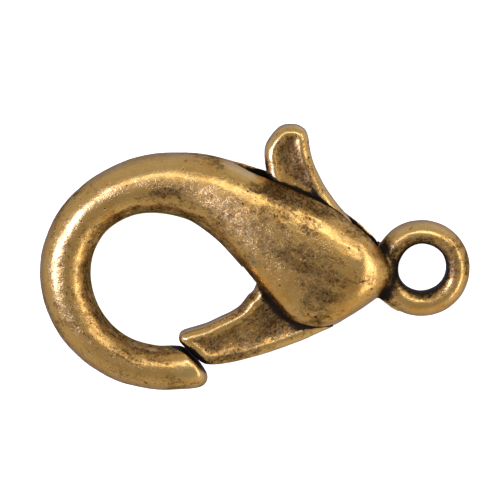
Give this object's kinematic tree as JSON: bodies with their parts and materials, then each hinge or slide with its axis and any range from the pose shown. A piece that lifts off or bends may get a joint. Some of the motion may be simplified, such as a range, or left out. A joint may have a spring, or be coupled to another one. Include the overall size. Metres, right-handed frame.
{
  "type": "lobster clasp",
  "caption": "Lobster clasp for jewelry: a cast hook with an eye for a jump ring, closed by a sprung gate lever that opens with a thumb tab.",
  "frame": {"origin": "centre of the eye's hole, at half the clasp's thickness", "axes": "+X along the clasp from the hook towards the eye, +Y across it towards the thumb tab, +Z through its thickness, along the eye's hole"},
  "size_m": [0.0251, 0.0154, 0.0048],
  "materials": {
    "bronze": "antique brass, tumbled, with dark patina in the hollows",
    "bronze_lever": "antique brass, tumbled, darker and more worn",
    "pin_brass": "turned brass, dulled",
    "spring_steel": "rolled spring strip"
  },
  "bodies": {
    "frame": {"body": "bronze", "pivot_pin": "pin_brass", "spring": "spring_steel"},
    "gate": {"lever": "bronze_lever"}
  },
  "joints": [
    {"name": "gate_hinge", "type": "hinge", "parent": "frame", "child": "gate", "pos_m": [-0.0068, -0.00047, 0], "axis": [0, 0, -1], "range_deg": [0, 22], "stiffness_Nm_per_rad": 0.01, "springref_deg": -34.38, "deforming": ["spring"]}
  ]
}
